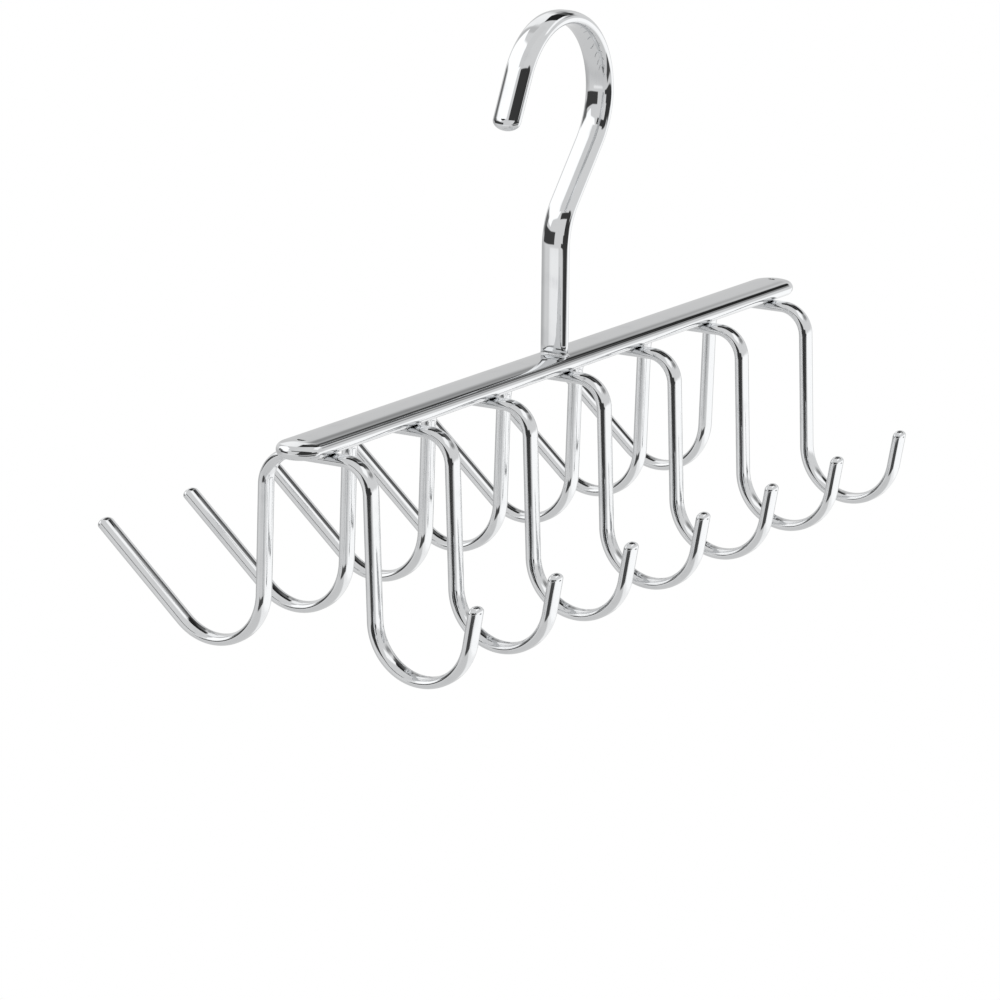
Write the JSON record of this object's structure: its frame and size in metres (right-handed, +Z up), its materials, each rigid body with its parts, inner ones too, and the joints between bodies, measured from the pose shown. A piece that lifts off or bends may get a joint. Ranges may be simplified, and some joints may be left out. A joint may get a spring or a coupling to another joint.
{
  "type": "tie hanger",
  "caption": "Chrome-plated hanger for ties and belts: a flat-oval bar with welded wires that form hooks in front and behind, hung from a closet rod by a flat hook.",
  "frame": {"origin": "centre of the closet rod's space inside the hanging hook's crook, straight above the stem", "axes": "+X along the bar, away from the hook's open end; -Y to the short front hooks and +Y to the long back hooks, along the closet rod; +Z up"},
  "size_m": [0.32, 0.1488, 0.1956],
  "materials": {
    "bar_chrome": "bright chrome plate",
    "hook_chrome": "bright chrome plate",
    "wire_chrome": "bright chrome plate",
    "weld_chrome": "chrome plate over weld metal"
  },
  "bodies": {
    "root": {"top_bar": "bar_chrome", "hanging_hook": "hook_chrome", "stem_weld": "weld_chrome", "hook_wire_1": "wire_chrome", "hook_wire_2": "wire_chrome", "hook_wire_3": "wire_chrome", "hook_wire_4": "wire_chrome", "hook_wire_5": "wire_chrome", "hook_wire_6": "wire_chrome", "hook_wire_7": "wire_chrome", "wire_weld_1": "weld_chrome", "wire_weld_2": "weld_chrome", "wire_weld_3": "weld_chrome", "wire_weld_4": "weld_chrome", "wire_weld_5": "weld_chrome", "wire_weld_6": "weld_chrome", "wire_weld_7": "weld_chrome"}
  },
  "joints": []
}
